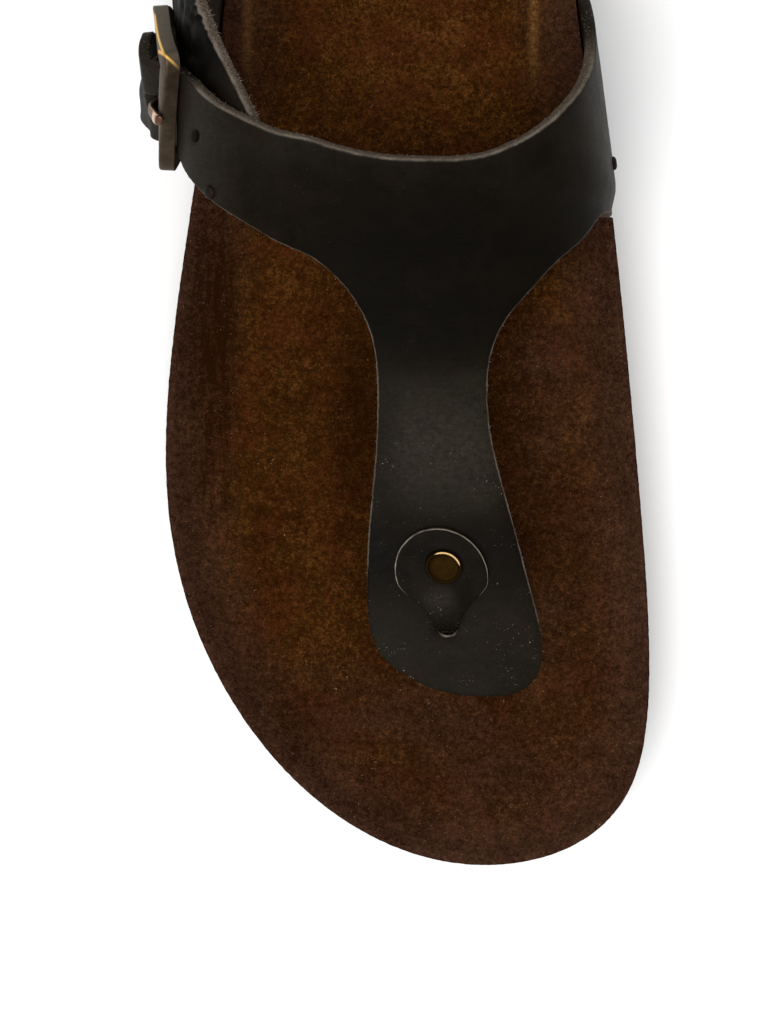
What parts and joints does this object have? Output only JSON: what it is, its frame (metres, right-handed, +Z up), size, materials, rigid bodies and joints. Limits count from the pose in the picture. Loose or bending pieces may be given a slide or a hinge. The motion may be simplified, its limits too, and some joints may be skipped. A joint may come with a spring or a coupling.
{
  "type": "toe post sandal",
  "caption": "Cork footbed sandal with a T-shaped leather strap, a toe post between the toes and a side buckle.",
  "frame": {"origin": "floor under the middle of the whole shoe's box, standing on its sole", "axes": "+Z up, -Y to the toes, +Y to the heel, +X to the big-toe side of this right shoe"},
  "size_m": [0.1121, 0.28, 0.0799],
  "materials": {
    "outsole_eva": "matte, fine moulded texture",
    "cork": "sealed cork granulate, matte",
    "brown_suede": "napped suede, matte",
    "oiled_leather": "oiled full grain, low sheen",
    "antique_bronze": "darkened, worn bright on the edges",
    "aged_brass": "aged, half polished"
  },
  "bodies": {
    "root": {"outsole": "outsole_eva", "cork_footbed": "cork", "suede_insole": "brown_suede", "toe_strap": "oiled_leather", "buckle_strap": "oiled_leather", "buckle_loop": "oiled_leather", "buckle_frame": "antique_bronze", "buckle_prong": "aged_brass", "toe_post": "oiled_leather", "post_rivet": "aged_brass", "tack_medial": "antique_bronze", "tack_lateral": "antique_bronze"}
  },
  "joints": []
}
